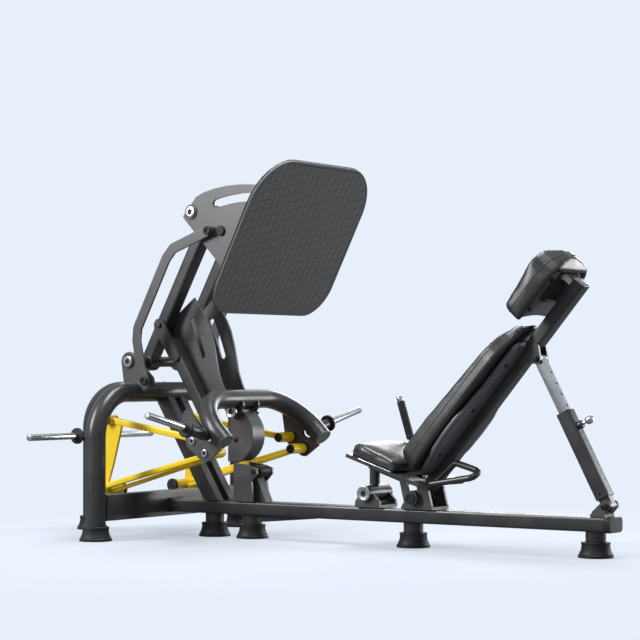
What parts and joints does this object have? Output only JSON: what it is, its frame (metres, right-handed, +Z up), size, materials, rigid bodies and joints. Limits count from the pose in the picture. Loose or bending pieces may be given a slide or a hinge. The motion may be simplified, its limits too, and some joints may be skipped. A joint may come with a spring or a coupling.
{
  "type": "leg press machine",
  "caption": "Plate-loaded leg press: a swinging footplate on parallel links lifts a weight arm, facing an inclined seat whose backrest is set by a telescopic strut.",
  "frame": {"origin": "on the floor, at the middle of the machine's length and width", "axes": "+X from the footplate end towards the seat end, +Y to the side that carries the release lever, +Z up"},
  "size_m": [2.548, 1.4462, 1.4957],
  "materials": {
    "frame_paint": "charcoal powder coat, satin, fine metallic grain",
    "plate_paint": "charcoal powder coat on flat plate, satin",
    "yellow_paint": "bright yellow powder coat, satin",
    "chrome": "bright chrome plate with light handling marks",
    "black_rubber": "moulded rubber, matt",
    "tread_rubber": "embossed rubber mat, matt",
    "upholstery": "smooth synthetic leather, semi-gloss",
    "back_cover": "moulded plastic shell, satin"
  },
  "bodies": {
    "frame": {"main_beam": "frame_paint", "beam_end_cap": "black_rubber", "portal_base_beam": "frame_paint", "foot_rear": "black_rubber", "foot_portal_left": "black_rubber", "foot_portal_right": "black_rubber", "foot_tower": "black_rubber", "foot_pedestal": "black_rubber", "foot_seat": "black_rubber", "foot_front": "black_rubber", "portal_arch": "frame_paint", "rear_arch": "frame_paint", "tower_post_left": "frame_paint", "tower_post_right": "frame_paint", "storage_horn_left": "chrome", "storage_horn_right": "chrome", "link_bracket_left": "plate_paint", "link_bracket_right": "plate_paint", "press_pivot_shaft": "frame_paint", "weight_pivot_bracket_left": "plate_paint", "weight_pivot_bracket_right": "plate_paint", "pedestal": "plate_paint", "stop_bumper": "black_rubber", "seat_frame": "frame_paint", "seat_pad": "upholstery", "front_support": "plate_paint", "seat_bracket": "plate_paint", "hand_rail": "frame_paint", "strut_bracket": "plate_paint"},
    "press_arm": {"press_arm_left": "frame_paint", "press_arm_right": "frame_paint"},
    "control_links": {"control_link_left": "plate_paint", "control_link_right": "plate_paint"},
    "footplate_carrier": {"footplate_mat": "tread_rubber", "footplate": "plate_paint", "footplate_backing": "plate_paint", "carrier_plate_left": "plate_paint", "carrier_plate_right": "plate_paint", "carrier_shaft": "frame_paint"},
    "lift_rods": {"lift_rod_left": "frame_paint", "lift_rod_right": "frame_paint", "fin_plate_left": "plate_paint", "fin_plate_right": "plate_paint"},
    "weight_arm": {"u_bar": "frame_paint", "working_horn_left": "chrome", "working_horn_right": "chrome", "gusset_left": "plate_paint", "gusset_right": "plate_paint", "yellow_frame_left": "yellow_paint", "yellow_frame_right": "yellow_paint", "sector": "plate_paint"},
    "backrest": {"backrest_post": "frame_paint", "backrest_cover": "back_cover", "backrest_pad": "upholstery", "headrest_pad": "upholstery"},
    "strut_sleeve": {"strut_outer": "frame_paint"},
    "strut_bar": {"strut_inner": "chrome"},
    "pull_pin": {"pull_pin": "chrome"},
    "release_lever": {"release_lever": "black_rubber"}
  },
  "joints": [
    {"name": "press_stroke", "type": "hinge", "parent": "frame", "child": "press_arm", "pos_m": [-0.809, 0, 0.714], "axis": [0, -1, 0], "range_deg": [0, 22]},
    {"name": "control_link_swing", "type": "hinge", "parent": "frame", "child": "control_links", "pos_m": [-0.707, 0, 0.636], "axis": [0, -1, 0], "range_deg": [-0.1, 22.2]},
    {"name": "footplate_hinge", "type": "hinge", "parent": "press_arm", "child": "footplate_carrier", "pos_m": [-0.485, 0, 1.309], "axis": [0, -1, 0], "range_deg": [-22.2, 0.1]},
    {"name": "lift_rod_hinge", "type": "hinge", "parent": "press_arm", "child": "lift_rods", "pos_m": [-0.728, 0, 0.8636], "axis": [0, -1, 0], "range_deg": [-18, 0.1]},
    {"name": "weight_arm_hinge", "type": "hinge", "parent": "frame", "child": "weight_arm", "pos_m": [-0.905, 0, 0.19], "axis": [0, -1, 0], "range_deg": [-0.1, 6]},
    {"name": "backrest_recline", "type": "hinge", "parent": "frame", "child": "backrest", "pos_m": [0.451, 0, 0.193], "axis": [0, -1, 0], "range_deg": [-8, 4]},
    {"name": "strut_swing", "type": "hinge", "parent": "frame", "child": "strut_sleeve", "pos_m": [1.246, 0, 0.188], "axis": [0, -1, 0], "range_deg": [-3, 1.6]},
    {"name": "strut_extension", "type": "slide", "parent": "strut_sleeve", "child": "strut_bar", "axis": [-0.469, 0, 0.8832], "range_m": [-0.1, 0.051]},
    {"name": "pull_pin_travel", "type": "slide", "parent": "strut_sleeve", "child": "pull_pin", "axis": [0.8832, 0, 0.469], "range_m": [0, 0.012], "stiffness_N_per_m": 1500},
    {"name": "lever_swing", "type": "hinge", "parent": "frame", "child": "release_lever", "pos_m": [0.317, 0.205, 0.262], "axis": [0, -1, 0], "range_deg": [0, 30]}
  ],
  "couplings": [
    {"joint": "control_link_swing", "follows": "press_stroke", "ratio": 1},
    {"joint": "footplate_hinge", "follows": "press_stroke", "ratio": -1},
    {"joint": "lift_rod_hinge", "follows": "press_stroke", "ratio": -0.795},
    {"joint": "weight_arm_hinge", "follows": "press_stroke", "ratio": 0.2575},
    {"joint": "strut_swing", "follows": "backrest_recline", "ratio": 0.3633},
    {"joint": "strut_extension", "follows": "backrest_recline", "m_per_rad": 0.705}
  ]
}
